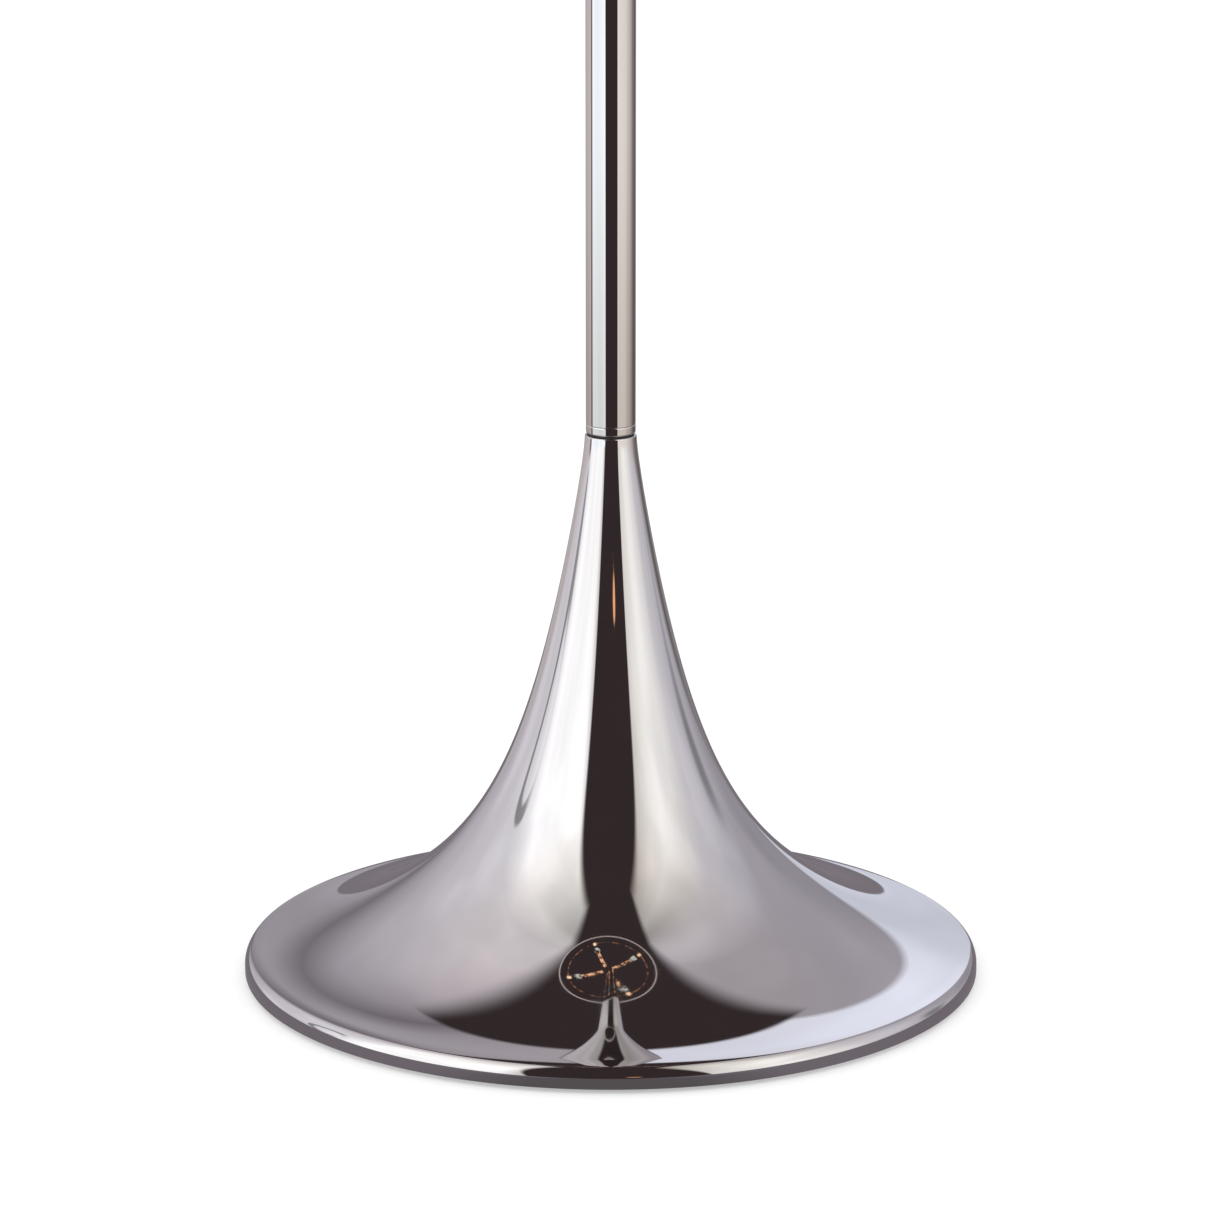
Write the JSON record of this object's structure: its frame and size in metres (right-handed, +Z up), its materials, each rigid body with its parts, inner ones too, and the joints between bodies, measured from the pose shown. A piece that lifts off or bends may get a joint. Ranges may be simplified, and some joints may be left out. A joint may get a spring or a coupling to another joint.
{
  "type": "trumpet foot stand",
  "caption": "Free-standing pedestal stand: a polished chrome foot flared like a trumpet bell, weighted inside, carrying a slim round column with a threaded top.",
  "frame": {"origin": "on the floor, at the centre of the foot", "axes": "+Z up along the column's axis; the stand is round, so +X and +Y are free, and the cover's screws lie between them"},
  "size_m": [0.3, 0.3, 0.7],
  "materials": {
    "chromed_steel": "polished mirror chrome",
    "zinc_plated_steel": "bright zinc plate",
    "cast_iron": "rough casting, dark primer",
    "black_painted_steel": "fine-textured black powder coat",
    "black_rubber": "matt black rubber",
    "black_fibre": "matt black fibre"
  },
  "bodies": {
    "root": {"trumpet_shell": "chromed_steel", "column_tube": "chromed_steel", "column_bottom_plug": "chromed_steel", "column_top_plug": "chromed_steel", "seam_washer": "black_fibre", "neck_bush": "zinc_plated_steel", "spacer_tube": "zinc_plated_steel", "tie_rod": "zinc_plated_steel", "ballast_weight": "cast_iron", "ballast_gasket": "black_rubber", "spreader_washer": "zinc_plated_steel", "spring_washer": "zinc_plated_steel", "tie_rod_nut": "zinc_plated_steel", "bottom_cover": "black_painted_steel", "cover_screws": "zinc_plated_steel", "foot_ring": "black_rubber"}
  },
  "joints": []
}
